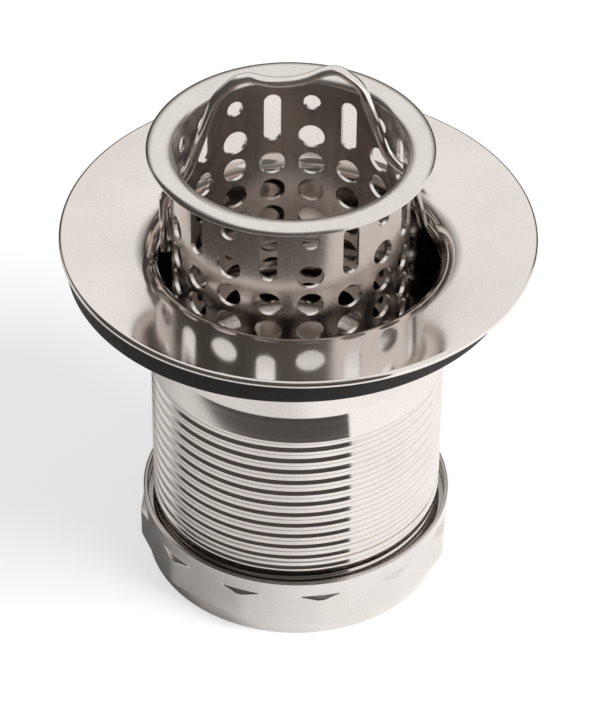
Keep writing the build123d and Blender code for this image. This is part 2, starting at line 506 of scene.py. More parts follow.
@dataclass(frozen=True)
class Polymer(Finish):
    """Rubber or plastic with a moulded skin."""

    index: float = 1.5

    def substance(self) -> dict[str, float]:
        """No metal, and the index of refraction of the polymer."""
        return {"Metallic": 0.0, "IOR": self.index}


# Drawn 304 stainless, wheel polished: a warm-grey mirror with faint rings round the axis.
POLISHED_STAINLESS = BareMetal(
    name="polished_304_stainless",
    slot="polished_stainless",
    shade="#e8e1dc",
    second_shade="#dad3cd",
    roughness=0.1,
    roughness_spread=0.03,
    grain=Grain.ROUND,
    grain_width=0.35,
    cloud_width=14.0,
    relief=0.0006,
)

# Satin chrome over cast brass: a soft mirror, in which the nut's flats differ only a little.
CHROME_PLATE = BareMetal(
    name="satin_chrome_on_brass",
    slot="chrome_plate",
    shade="#e4dfdb",
    second_shade="#d8d3ce",
    roughness=0.22,
    roughness_spread=0.03,
    grain=Grain.LOOSE,
    grain_width=0.6,
    cloud_width=9.0,
    relief=0.0012,
)

# Deep drawn and punched stainless, barrel polished: a soft mirror with a fine loose haze.
DRAWN_STAINLESS = BareMetal(
    name="barrel_polished_drawn_stainless",
    slot="drawn_stainless",
    shade="#e5dfda",
    second_shade="#d8d1cb",
    roughness=0.2,
    roughness_spread=0.04,
    grain=Grain.LOOSE,
    grain_width=0.5,
    cloud_width=10.0,
    relief=0.0015,
    shift=BASKET_SHIFT,
)

# Hard drawn stainless spring wire, polished by its die: bright, with almost no marks.
SPRING_WIRE = BareMetal(
    name="bright_drawn_spring_wire",
    slot="spring_wire",
    shade="#e2dcd7",
    second_shade="#dcd6d1",
    roughness=0.1,
    roughness_spread=0.02,
    grain=Grain.LOOSE,
    grain_width=0.5,
    cloud_width=6.0,
    relief=0.0008,
)

# Compression moulded black nitrile rubber: nearly black, with a dull, faintly grainy skin.
BLACK_RUBBER = Polymer(
    name="moulded_black_nitrile",
    slot="black_rubber",
    shade="#171411",
    second_shade="#1f1a17",
    roughness=0.6,
    roughness_spread=0.08,
    grain=Grain.LOOSE,
    grain_width=0.5,
    cloud_width=7.0,
    relief=0.01,
)

# Moulded black rubber of the stopper: softer, a touch greyer, and just as dull.
STOPPER_RUBBER = Polymer(
    name="moulded_stopper_rubber",
    slot="stopper_rubber",
    shade="#232120",
    second_shade="#2b2928",
    roughness=0.6,
    roughness_spread=0.06,
    grain=Grain.LOOSE,
    grain_width=0.6,
    cloud_width=7.0,
    relief=0.01,
    shift=BASKET_SHIFT,
)

# Die cut natural polythene sheet: milky white and waxy.
POLYTHENE = Polymer(
    name="die_cut_polythene_sheet",
    slot="white_polythene",
    shade="#e8e6de",
    second_shade="#dfddd5",
    roughness=0.42,
    roughness_spread=0.05,
    grain=Grain.LOOSE,
    grain_width=0.8,
    cloud_width=8.0,
    relief=0.004,
)

# Cold headed stainless rivet and its blanked washer: satin, with turned marks.
RIVET_STEEL = BareMetal(
    name="cold_headed_rivet_steel",
    slot="rivet_steel",
    shade="#d4cec8",
    second_shade="#cac4be",
    roughness=0.3,
    roughness_spread=0.05,
    grain=Grain.ROUND,
    grain_width=0.3,
    cloud_width=5.0,
    relief=0.002,
    shift=BASKET_SHIFT,
)


def finish_piece(piece: bpy.types.Object, finish: Finish, body: Body) -> None:
    """Dresses a piece, lets it stand for the CAD node of its name, and lets it ride.

    Args:
        piece: The piece, named after its CAD node with _dressed behind it.
        finish: Its finish.
        body: The body that carries it.
    """
    piece.data.materials.clear()
    piece.data.materials.append(finish.material())
    smoothed(piece)
    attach(piece, body.value)
    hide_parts(piece.name.removesuffix("_dressed"))
    piece.data.calc_loop_triangles()
    log.info("%s: %d triangles, %s", piece.name, len(piece.data.loop_triangles), finish.name)


# Geometry Nodes trees

# Sides of a punched hole and of the wire, and points round each corner of a slot.
HOLE_SIDES = 28
WIRE_SIDES = 40
SLOT_CORNER_POINTS = 8


def circle(tree: Tree, sides: int, radius: Socket) -> Socket:
    """Closed curve round a centre."""
    inputs = {"Resolution": sides, "Radius": radius}
    return add_node(tree, "GeometryNodeCurvePrimitiveCircle", inputs).outputs["Curve"]


def swept(tree: Tree, line: Socket, outline: Socket) -> Socket:
    """Closed solid that an outline makes along a line."""
    inputs = {"Curve": line, "Profile Curve": outline, "Fill Caps": True}
    return add_node(tree, "GeometryNodeCurveToMesh", inputs).outputs["Mesh"]


def thread_tree(values: Values) -> Tree:
    """Tree that rolls a helical thread into the outer wall of a barrel.

    Args:
        values: Pitch, Depth, Crest reach, Crest height, Top, Bottom, Fade, Crest share, Flank
            share and Material. The shares are parts of the pitch.

    Returns:
        The tree.
    """
    tree, given = new_geometry_tree("Roll thread", values)
    math_node = partial(arithmetic, tree)
    ramp = partial(mapped, tree, kind="SMOOTHSTEP")
    split = split_axes(tree, add_node(tree, "GeometryNodeInputPosition").outputs["Position"])
    angle = math_node("ARCTAN2", split["Y"], split["X"])
    # A quarter of a turn is added, so that the crest height is the one at the front.
    turns = math_node("ADD", math_node("DIVIDE", angle, 2 * math.pi), 0.25)
    above = math_node("SUBTRACT", split["Z"], given["Crest height"])
    pitches = math_node("DIVIDE", above, given["Pitch"])
    share = math_node("FRACT", math_node("SUBTRACT", pitches, turns))
    half_crest = math_node("MULTIPLY", given["Crest share"], 0.5)
    upper_end = math_node("ADD", half_crest, given["Flank share"])
    lower_end = math_node("SUBTRACT", 1.0, half_crest)
    lower_start = math_node("SUBTRACT", lower_end, given["Flank share"])
    groove = math_node(
        "SUBTRACT", ramp(share, (half_crest, upper_end)), ramp(share, (lower_start, lower_end))
    )
    faded_top = math_node("SUBTRACT", given["Top"], given["Fade"])
    faded_bottom = math_node("ADD", given["Bottom"], given["Fade"])
    fade = math_node(
        "MULTIPLY",
        ramp(split["Z"], (given["Top"], faded_top)),
        ramp(split["Z"], (given["Bottom"], faded_bottom)),
    )
    amount = math_node("MULTIPLY", groove, fade)
    cut = math_node("MULTIPLY", amount, math_node("MULTIPLY", given["Depth"], -1.0))
    flat = joined_axes(tree, X=split["X"], Y=split["Y"])
    outward = add_node(tree, "ShaderNodeVectorMath", {0: flat}, operation="NORMALIZE").outputs[0]
    offset = add_node(
        tree, "ShaderNodeVectorMath", {0: outward, "Scale": cut}, operation="SCALE"
    ).outputs[0]
    margin = 0.05 * MM
    wall = math_node("SUBTRACT", given["Crest reach"], margin)
    outside = math_node("GREATER_THAN", length_of(tree, flat), wall)
    below_top = math_node("LESS_THAN", split["Z"], given["Top"])
    moved = add_node(
        tree,
        "GeometryNodeSetPosition",
        {
            "Geometry": given["Geometry"],
            "Selection": math_node("MULTIPLY", outside, below_top),
            "Offset": offset,
        },
    ).outputs["Geometry"]
    close_geometry_tree(tree, moved, given["Material"])
    return tree


def punching_tree(values: Values) -> Tree:
    """Tree that punches columns of openings through the wall of a cup.

    Args:
        values: The sizes of the pattern as Basket.build names them, and Material.

    Returns:
        The tree.
    """
    tree, given = new_geometry_tree("Punch basket wall", values)
    math_node = partial(arithmetic, tree)
    index = add_node(tree, "GeometryNodeInputIndex").outputs[0]
    half_tool = math_node("MULTIPLY", given["Tool length"], 0.5)
    tool_start = joined_axes(tree, Z=math_node("MULTIPLY", half_tool, -1.0))
    tool_end = joined_axes(tree, Z=half_tool)
    tool_line = add_node(
        tree, "GeometryNodeCurvePrimitiveLine", {"Start": tool_start, "End": tool_end}
    ).outputs["Curve"]

    def round_tool(width: Socket) -> Socket:
        """Round punch of a width, lying along its own Z axis."""
        return swept(tree, tool_line, circle(tree, HOLE_SIDES, math_node("MULTIPLY", width, 0.5)))

    def placed(
        shape: Socket, count: Socket, column: Socket, height: Socket, wanted: object = True
    ) -> Socket:
        """Copies of a punch in the wall, one for each index.

        Args:
            shape: The punch.
            count: How many copies.
            column: Column of each copy.
            height: Height of each copy.
            wanted: Which copies are kept.

        Returns:
            The instances.
        """
        share = math_node("DIVIDE", column, given["Columns"])
        angle = math_node("ADD", math_node("MULTIPLY", share, 2 * math.pi), given["First angle"])
        along_x = math_node("MULTIPLY", given["Wall reach"], math_node("SINE", angle))
        along_y = math_node("MULTIPLY", given["Wall reach"], math_node("COSINE", angle))
        position = joined_axes(
            tree,
            X=math_node("SUBTRACT", along_x, given["Shift"]),
            Y=math_node("MULTIPLY", along_y, -1.0),
            Z=height,
        )
        spots = add_node(
            tree, "GeometryNodePoints", {"Count": count, "Position": position}
        ).outputs[0]
        # A quarter turn lays the punch down, facing the wall, and the column turns it round.
        turn = joined_axes(tree, X=math.pi / 2, Z=angle)
        return add_node(
            tree,
            "GeometryNodeInstanceOnPoints",
            {"Points": spots, "Instance": shape, "Rotation": turn, "Selection": wanted},
        ).outputs["Instances"]

    half_columns = math_node("MULTIPLY", given["Columns"], 0.5)
    even_column = math_node("MULTIPLY", index, 2.0)
    odd_column = math_node("ADD", even_column, 1.0)
    frame_curve = add_node(
        tree,
        "GeometryNodeCurvePrimitiveQuadrilateral",
        {"Width": given["Slot width"], "Height": given["Slot length"]},
    ).outputs["Curve"]
    # A touch under half the width keeps the rounded ends from meeting in one point.
    slot_radius = math_node("MULTIPLY", given["Slot width"], 0.49)
    slot_curve = add_node(
        tree,
        "GeometryNodeFilletCurve",
        {"Curve": frame_curve, "Count": SLOT_CORNER_POINTS, "Radius": slot_radius},
        mode="POLY",
    ).outputs["Curve"]
    slot_tool = swept(tree, tool_line, slot_curve)
    slots = placed(slot_tool, half_columns, even_column, given["Slot height"])
    small_tool = round_tool(given["Small hole width"])
    small_holes = placed(small_tool, half_columns, odd_column, given["Small hole height"])
    column = math_node("FLOOR", math_node("DIVIDE", math_node("ADD", index, 0.5), given["Rows"]))
    row = math_node("SUBTRACT", index, math_node("MULTIPLY", column, given["Rows"]))
    row_height = math_node(
        "SUBTRACT", given["Top row height"], math_node("MULTIPLY", row, given["Row pitch"])
    )
    # A slotted column has its slot in place of the top hole.
    in_odd_column = math_node("MODULO", column, 2.0)
    in_lower_row = math_node("GREATER_THAN", row, 0.5)
    holes = placed(
        round_tool(given["Hole width"]),
        math_node("MULTIPLY", given["Columns"], given["Rows"]),
        column,
        row_height,
        math_node("MAXIMUM", in_odd_column, in_lower_row),
    )
    joined = add_node(tree, "GeometryNodeJoinGeometry")
    for tools in (slots, small_holes, holes):
        tree.links.new(tools, joined.inputs[0])
    solid_tools = add_node(
        tree, "GeometryNodeRealizeInstances", {"Geometry": joined.outputs[0]}
    ).outputs[0]
    punched = add_node(
        tree,
        "GeometryNodeMeshBoolean",
        {"Mesh 1": given["Geometry"], "Mesh 2": solid_tools},
        operation="DIFFERENCE",
        solver="EXACT",
    ).outputs["Mesh"]
    close_geometry_tree(tree, punched, given["Material"])
    return tree


def wire_tree(values: Values) -> Tree:
    """Tree that runs a round wire along a curve and closes its square-cut ends.

    Args:
        values: Wire radius and Material.

    Returns:
        The tree.
    """
    tree, given = new_geometry_tree("Draw wire", values)
    wire = swept(tree, given["Geometry"], circle(tree, WIRE_SIDES, given["Wire radius"]))
    close_geometry_tree(tree, wire, given["Material"])
    return tree


# Sub-assemblies


@dataclass
class Waste:
    """Drawn body of the waste with its rolled thread, and the gasket under its flange."""

    seat: float = 64.0
    sheet: float = 0.9
    flange_reach: float = 38.0
    dish_angle: float = 8.0
    throat: float = 5.5
    bore: float = 22.1
    neck_depth: float = 18.7
    taper_height: float = 4.6
    thread_reach: float = 23.9
    barrel_end: float = 4.2
    foot: float = 2.0
    outlet: float = 15.0
    pitch: float = 2.309
    thread_depth: float = 0.34
    thread_fade: float = 0.7
    crest_share: float = 0.14
    flank_share: float = 0.33
    wall_step: float = 0.14
    second_crest: float = 38.6
    gasket_reach: float = 36.0
    gasket_shift: float = 1.0
    gasket_drop: float = 4.6
    gasket_gap: float = 0.02
    gasket_margin: float = 1.0

    def dish_height(self, reach: float, below: float = 0.0) -> float:
        """Height of the dished flange top at a distance from the axis, or of a parallel below it."""
        dish = math.radians(self.dish_angle)
        edge_reach = self.flange_reach - self.sheet - self.sheet * math.sin(dish)
        edge_height = self.seat + self.sheet * math.cos(dish)
        return edge_height + (reach - edge_reach) * math.tan(dish) - below / math.cos(dish)

    def body_outline(self) -> list[Point]:
        """Outline of the drawn sheet, with close points where the thread is rolled."""
        sheet = self.sheet
        neck = self.bore + sheet
        hollow = self.thread_reach - sheet
        neck_end = self.seat - self.neck_depth
        thread_top = neck_end - self.taper_height
        ledge = self.barrel_end + sheet
        lip = self.flange_reach - sheet
        threaded = [Corner(self.thread_reach, self.barrel_end, self.foot)]
        foot_top = self.barrel_end + self.foot
        rows = math.floor((thread_top - foot_top) / self.wall_step)
        threaded += [
            Corner(self.thread_reach, foot_top + self.wall_step * row) for row in range(1, rows)
        ]
        return rounded(
            [
                Corner(self.flange_reach, self.dish_height(self.flange_reach), 0.55),
                Corner(self.bore, self.dish_height(self.bore), self.throat),
                Corner(self.bore, neck_end, 3.0),
                Corner(hollow, thread_top, 3.0),
                Corner(hollow, ledge, self.foot - sheet),
                Corner(self.outlet, ledge, 0.15),
                Corner(self.outlet, self.barrel_end, 0.15),
                *threaded,
                Corner(self.thread_reach, thread_top, 1.2),
                Corner(neck, neck_end, 4.0),
                Corner(neck, self.dish_height(neck, sheet), self.throat - sheet),
                Corner(lip, self.seat),
                Corner(self.flange_reach, self.seat, 0.12),
            ]
        )

    def build(self) -> None:
        """Builds and dresses the body and the gasket."""
        blank = turned("strainer_body_dressed", self.body_outline(), steps=240)
        thread_top = self.seat - self.neck_depth - self.taper_height
        body = grown(
            blank,
            thread_tree,
            {
                "Pitch": self.pitch * MM,
                "Depth": self.thread_depth * MM,
                "Crest reach": self.thread_reach * MM,
                "Crest height": self.second_crest * MM,
                "Top": thread_top * MM,
                "Bottom": (self.barrel_end + self.foot) * MM,
                "Fade": self.thread_fade * MM,
                "Crest share": self.crest_share,
                "Flank share": self.flank_share,
                "Material": POLISHED_STAINLESS.material(),
            },
        )
        finish_piece(body, POLISHED_STAINLESS, Body.STRAINER)
        self.build_gasket()

    def gasket_wall(self, reach: float, height: float, angle: float) -> float:
        """Distance from the axis of the gasket's outer wall, which lies a little to the left."""
        if reach < self.gasket_reach - self.gasket_margin:
            return reach
        sideways = self.gasket_shift * math.sin(angle)
        return math.sqrt(reach**2 - sideways**2) - self.gasket_shift * math.cos(angle)

    def build_gasket(self) -> None:
        """Rubber ring that fills the underside of the flange down to the sink."""
        bottom = self.seat - self.gasket_drop
        below = self.sheet + self.gasket_gap
        throat = self.throat - below
        centre = (self.bore + self.throat, self.dish_height(self.bore + self.throat))
        centre = (centre[0], centre[1] - self.throat / math.cos(math.radians(self.dish_angle)))
        start = 180 - math.degrees(math.asin((bottom - centre[1]) / throat))
        inner = arc(centre, throat, start, 90 + self.dish_angle)
        farthest = self.dish_height(self.gasket_reach + self.gasket_shift, below)
        outer = rounded(
            [
                Corner(*inner[-1]),
                Corner(self.gasket_reach, farthest, 0.12),
                Corner(self.gasket_reach, bottom, 0.35),
                Corner(*inner[0]),
            ],
            closed=False,
        )
        gasket = turned("sink_gasket_dressed", inner + outer[1:-1], shaper=self.gasket_wall)
        for vertex in gasket.data.vertices:
            reach = vertex.co.xy.length / MM
            if reach > self.gasket_reach / 2 + self.bore / 2:
                vertex.co.z = min(vertex.co.z, self.dish_height(reach, below) * MM)
        finish_piece(gasket, BLACK_RUBBER, Body.STRAINER)


@dataclass
class CouplingNut:
    """Twelve-sided coupling nut on the foot of the barrel, with the washer on its lip."""

    flats: int = 12
    half_width: float = 25.5
    ring_reach: float = 24.85
    ring_height: float = 2.9
    flat_height: float = 6.2
    chamfer: float = 0.6
    collar_reach: float = 25.65
    collar_height: float = 2.7
    collar_wall: float = 0.75
    corner_angle: float = 9.7
    bore: float = 24.0
    lip: float = 2.0
    lip_bore: float = 19.3
    cut_margin: float = 0.4
    wall_step: float = 0.25
    edge_softness: float = 0.3
    washer_thickness: float = 2.2
    washer_bore: float = 19.15
    washer_reach: float = 23.5

    @property
    def flats_top(self) -> float:
        """Height at which the flats end and the round collar begins."""
        return self.ring_height + self.flat_height

    def flat_reach(self, angle: float) -> float:
        """Distance of the flats from the axis at an angle in radians, with softened corners."""
        sector = 2 * math.pi / self.flats
        turned_by = (angle - math.radians(self.corner_angle)) % sector
        nearest = self.half_width / math.cos(turned_by - sector / 2)
        beyond = min(turned_by, sector - turned_by)
        neighbour = self.half_width / math.cos(sector / 2 + beyond)
        return soft_min(nearest, neighbour, self.edge_softness)

    def shaped(self, reach: float, height: float, angle: float) -> float:
        """Distance from the axis after the flats are cut into the turned blank."""
        if reach < self.half_width - self.cut_margin:
            return reach
        cut = soft_min(reach, self.flat_reach(angle), self.edge_softness)
        if height > self.flats_top - self.chamfer:
            return max(cut, min(reach, self.collar_reach))
        return cut

    def build(self) -> None:
        """Builds and dresses the nut and the washer."""
        corner = self.half_width / math.cos(math.pi / self.flats)
        collar_bore = self.collar_reach - self.collar_wall
        collar_top = self.flats_top + self.collar_height
        outline = rounded(
            [
                Corner(self.lip_bore, 0.0, 0.2),
                Corner(self.ring_reach, 0.0, 0.4),
                Corner(self.half_width, self.ring_height, 0.3),
                Corner(corner, self.ring_height + self.chamfer, 0.25),
                Corner(corner, self.flats_top - self.chamfer, 0.2),
                Corner(self.collar_reach, self.flats_top, 0.1),
                Corner(self.collar_reach, collar_top, 0.3),
                Corner(collar_bore, collar_top, 0.2),
                Corner(collar_bore, self.flats_top, 0.1),
                Corner(self.bore, self.flats_top, 0.1),
                Corner(self.bore, self.lip),
                Corner(self.lip_bore, self.lip, 0.2),
            ]
        )
        points = divided(outline, self.wall_step)
        nut = turned("coupling_nut_dressed", points, steps=360, shaper=self.shaped)
        finish_piece(nut, CHROME_PLATE, Body.STRAINER)
        top = self.lip + self.washer_thickness
        ring = rounded(
            [
                Corner(self.washer_bore, self.lip, 0.1),
                Corner(self.washer_reach, self.lip, 0.1),
                Corner(self.washer_reach, top, 0.1),
                Corner(self.washer_bore, top, 0.1),
            ]
        )
        washer = turned("tailpiece_washer_dressed", ring)
        finish_piece(washer, POLYTHENE, Body.STRAINER)


@dataclass
class Basket:
    """Perforated cup, with the stopper that a rivet and its washer hold below the floor."""

    seat: float = Waste.seat
    sheet: float = 0.6
    reach: float = 18.9
    shift: float = BASKET_SHIFT
    floor: float = 33.0
    corner: float = 3.5
    rim_reach: float = 22.65
    rim_height: float = 17.9
    rim_crown: float = 20.9
    rim_flare: float = 1.6
    rim_roll: float = 1.0
    rim_edge: float = 0.15
    columns: int = 18
    rows: int = 7
    first_angle: float = -10.0
    hole_width: float = 4.3
    row_pitch: float = 5.4
    top_row_height: float = 6.0
    small_hole_width: float = 2.8
    small_hole_height: float = 12.7
    slot_width: float = 2.8
    slot_length: float = 9.0
    slot_height: float = 9.6
    punch_length: float = 3.0
    wall_step: float = 2.0
    rivet_reach: float = 2.0
    rivet_gap: float = 0.05
    rivet_head: float = 4.2
    rivet_head_height: float = 1.3
    washer_reach: float = 8.0
    washer_thickness: float = 0.9
    stopper_reach: float = 18.0
    stopper_bottom: float = 21.8
    stopper_lip: Point = (4.0, 1.6)
    stopper_hub: float = 9.0
    stopper_shoulder: Point = (14.0, 1.6)
    stopper_web: float = 4.2
    stopper_wall: float = 3.2

    def cup_outline(self) -> list[Point]:
        """Outline of the drawn cup, whose rim is two quarters of flat ellipses."""
        sheet, edge = self.sheet, self.rim_edge
        crown = self.seat + self.rim_height
        flare = (self.rim_crown, crown - self.rim_flare)
        inward = self.rim_crown - self.reach
        roll = (self.rim_crown, crown - self.rim_roll)
        outward = self.rim_reach - self.rim_crown
        corner = (self.reach - self.corner, self.floor + self.corner)
        hole = self.rivet_reach + self.rivet_gap
        return [
            (hole, self.floor + sheet),
            *arc(corner, self.corner - sheet, -90, 0),
            *arc(flare, inward + sheet, 180, 90, self.rim_flare),
            *arc(roll, outward, 86, 6, self.rim_roll),
            *arc((self.rim_reach - edge, roll[1] + 0.1), edge, 0, -90),
            *arc((self.rim_reach - sheet + edge, roll[1] + 0.1), edge, -90, -180),
            *arc(roll, outward - sheet, 24, 86, self.rim_roll - sheet),
            *arc(flare, inward, 90, 180, self.rim_flare - sheet),
            *arc(corner, self.corner, 0, -90),
            (hole, self.floor),
        ]

    def build(self) -> None:
        """Builds and dresses the cup, the stopper, the rivet and its washer."""
        points = divided(self.cup_outline(), self.wall_step)
        blank = turned("basket_cup_dressed", points, steps=180, shift=self.shift)
        cup = grown(
            blank,
            punching_tree,
            {
                "Wall reach": (self.reach - self.sheet / 2) * MM,
                "Shift": self.shift * MM,
                "Tool length": self.punch_length * MM,
                "First angle": math.radians(self.first_angle),
                "Hole width": self.hole_width * MM,
                "Row pitch": self.row_pitch * MM,
                "Top row height": (self.seat + self.top_row_height) * MM,
                "Small hole width": self.small_hole_width * MM,
                "Small hole height": (self.seat + self.small_hole_height) * MM,
                "Slot width": self.slot_width * MM,
                "Slot length": self.slot_length * MM,
                "Slot height": (self.seat + self.slot_height) * MM,
                "Columns": self.columns,
                "Rows": self.rows,
                "Material": DRAWN_STAINLESS.material(),
            },
        )
        finish_piece(cup, DRAWN_STAINLESS, Body.BASKET)
        self.build_stopper()
        self.build_rivet()

    def build_stopper(self) -> None:
        """Bell-shaped rubber stopper with a flat sealing lip."""
        hole = self.rivet_reach + self.rivet_gap
        underside = self.floor - self.stopper_web
        lip_width, lip_height = self.stopper_lip
        shoulder, shoulder_drop = self.stopper_shoulder
        outline = rounded(
            [
                Corner(hole, self.floor),
                Corner(self.stopper_hub, self.floor, 1.0),
                Corner(shoulder, self.floor - shoulder_drop, 3.0),
                Corner(self.stopper_reach, self.stopper_bottom + lip_height, 0.3),
                Corner(self.stopper_reach, self.stopper_bottom, 0.4),
                Corner(self.stopper_reach - lip_width, self.stopper_bottom, 0.4),
                Corner(shoulder - self.stopper_wall, underside, 1.2),
                Corner(hole, underside),
            ]
        )
        stopper = turned("stopper_dressed", outline, shift=self.shift)
        finish_piece(stopper, STOPPER_RUBBER, Body.BASKET)

    def build_rivet(self) -> None:
        """Rivet through washer, floor and stopper, domed at both ends, and its washer."""
        washer_top = self.floor + self.sheet + self.washer_thickness
        underside = self.floor - self.stopper_web
        height = self.rivet_head_height
        ball = (self.rivet_head**2 + height**2) / (2 * height)
        half = math.degrees(math.asin(self.rivet_head / ball))
        outline = [
            *arc((0.0, underside - height + ball), ball, -90, half - 90),
            (self.rivet_reach, underside),
            (self.rivet_reach, washer_top),
            *arc((0.0, washer_top + height - ball), ball, 90 - half, 90),
        ]
        outline = [(max(reach, 0.0), level) for reach, level in outline]
        rivet = turned("stopper_rivet_dressed", outline, steps=96, shift=self.shift)
        finish_piece(rivet, RIVET_STEEL, Body.BASKET)
        hole = self.rivet_reach + self.rivet_gap
        ring = rounded(
            [
                Corner(hole, self.floor + self.sheet),
                Corner(self.washer_reach, self.floor + self.sheet, 0.1),
                Corner(self.washer_reach, washer_top, 0.2),
                Corner(hole, washer_top, 0.1),
            ]
        )
        washer = turned("backing_washer_dressed", ring, steps=96, shift=self.shift)
        finish_piece(washer, RIVET_STEEL, Body.BASKET)


@dataclass
class SpringHandle:
    """Bent spring wire that is the basket's handle and, by its feet, its hanger."""

    seat: float = Waste.seat
    bore: float = Waste.bore
    basket_reach: float = Basket.reach
    basket_shift: float = Basket.shift
    slot_angles: Point = (-90.0, 110.0)
    wire_width: float = 1.65
    foot_gap: float = 0.12
    foot_height: float = -3.3
    bends: tuple[Corner, ...] = (
        Corner(19.7, 7.2, 2.2),
        Corner(16.1, 10.6, 9.0),
        Corner(11.4, 25.2, 7.0),
        Corner(7.3, 29.1, 3.4),
    )
    dip: Corner = Corner(0.0, 26.1, 12.0)

    def wall_point(self, degrees: float) -> Vector:
        """Point on the basket's wall at an angle from the front towards +X."""
        x, y = towards(degrees)
        reach = self.basket_reach
        return Vector((reach * x - self.basket_shift, reach * y, self.seat))

    def path(self) -> list[Vector]:
        """Middle line of the wire in one upright plane, in millimetres."""
        left, right = [self.wall_point(degrees) for degrees in self.slot_angles]
        along = (right - left).normalized()
        middle = (left + right) / 2
        offset = middle.xy.dot(along.xy)
        reach = self.bore - self.foot_gap - self.wire_width / 2
        half = math.sqrt(reach**2 - (middle.xy.length_squared - offset**2))
        corners = [
            Corner(-half - offset, self.foot_height),
            *[Corner(-bend.reach, bend.height, bend.rounding) for bend in self.bends],
            self.dip,
            *reversed(self.bends),
            Corner(half - offset, self.foot_height),
        ]
        line = rounded(corners, closed=False)
        return [middle + along * sideways + Vector((0, 0, height)) for sideways, height in line]

    def build(self) -> None:
        """Sweeps the wire along its line and dresses it."""
        curve = bpy.data.curves.new("spring_handle_line", "CURVE")
        curve.dimensions = "3D"
        points = self.path()
        spline = curve.splines.new("POLY")
        spline.points.add(len(points) - 1)
        for point, place in zip(spline.points, points):
            point.co = (*(place * MM), 1.0)
        line = linked("spring_handle_dressed", curve)
        values = {"Wire radius": self.wire_width / 2 * MM, "Material": SPRING_WIRE.material()}
        wire = grown(line, wire_tree, values)
        face_outwards(wire.data)
        finish_piece(wire, SPRING_WIRE, Body.BASKET)


# Studio


@dataclass(frozen=True)
class Rise:
    """Brighter glow on part of a board, a painted reflection of brighter surroundings.

    It grows by its gain from the height low to the height high, and sideways from the angle
    none to the angle full, in degrees from the front towards +X.
    """

    low: float
    high: float
    gain: float
    none: float = -360.0
    full: float = -359.0


@dataclass(frozen=True)
class Board:
    """Upright glowing board bent round the object, which only mirrors see: a painted reflection of
    dark surroundings.

    It runs from start to end in degrees from the front towards +X, and from foot to top. A step
    is the width of one of its flat parts, in degrees.
    """

    name: str
    start: float
    end: float
    foot: float
    top: float
    shade: str
    rises: tuple[Rise, ...] = ()
    step: float = 4.0

    def material(self) -> bpy.types.Material:
        """Glow of the painted reflection, dark at the foot and brighter over each rise."""
        made = new_material(self.name)
        tree = made.node_tree
        shaded = add_node(tree, "ShaderNodeEmission", {"Color": linear(self.shade)}).outputs[0]
        split = split_axes(tree, object_place(tree))
        behind = arithmetic(tree, "MULTIPLY", split["Y"], -1.0)
        angle = arithmetic(tree, "ARCTAN2", split["X"], behind)
        for rise in self.rises:
            span = (math.radians(rise.none), math.radians(rise.full))
            gain = mapped(tree, angle, span, (0.0, rise.gain))
            strength = mapped(tree, split["Z"], (rise.low * MM, rise.high * MM), (0.0, gain))
            more = add_node(tree, "ShaderNodeEmission", {"Strength": strength}).outputs[0]
            shaded = add_node(tree, "ShaderNodeAddShader", {0: shaded, 1: more}).outputs[0]
        add_node(tree, "ShaderNodeOutputMaterial", {"Surface": shaded})
        return made

    def build(self, reach: float) -> None:
        """Builds the board at a distance from the axis."""
        steps = max(2, round((self.end - self.start) / self.step))
        vertices = []
        for step in range(steps + 1):
            x, y = towards(self.start + (self.end - self.start) * step / steps)
            place = (reach * x * MM, reach * y * MM)
            vertices += [(*place, self.foot * MM), (*place, self.top * MM)]
        faces = [(2 * s, 2 * s + 2, 2 * s + 3, 2 * s + 1) for s in range(steps)]
        board = mesh_object(self.name, vertices, faces)
        board.data.materials.append(self.material())
        # Only glossy rays see the board, so its glow is a painted reflection and it casts no shadow.
        board.visible_camera = False
        board.visible_diffuse = False
        board.visible_shadow = False
        board.visible_transmission = False


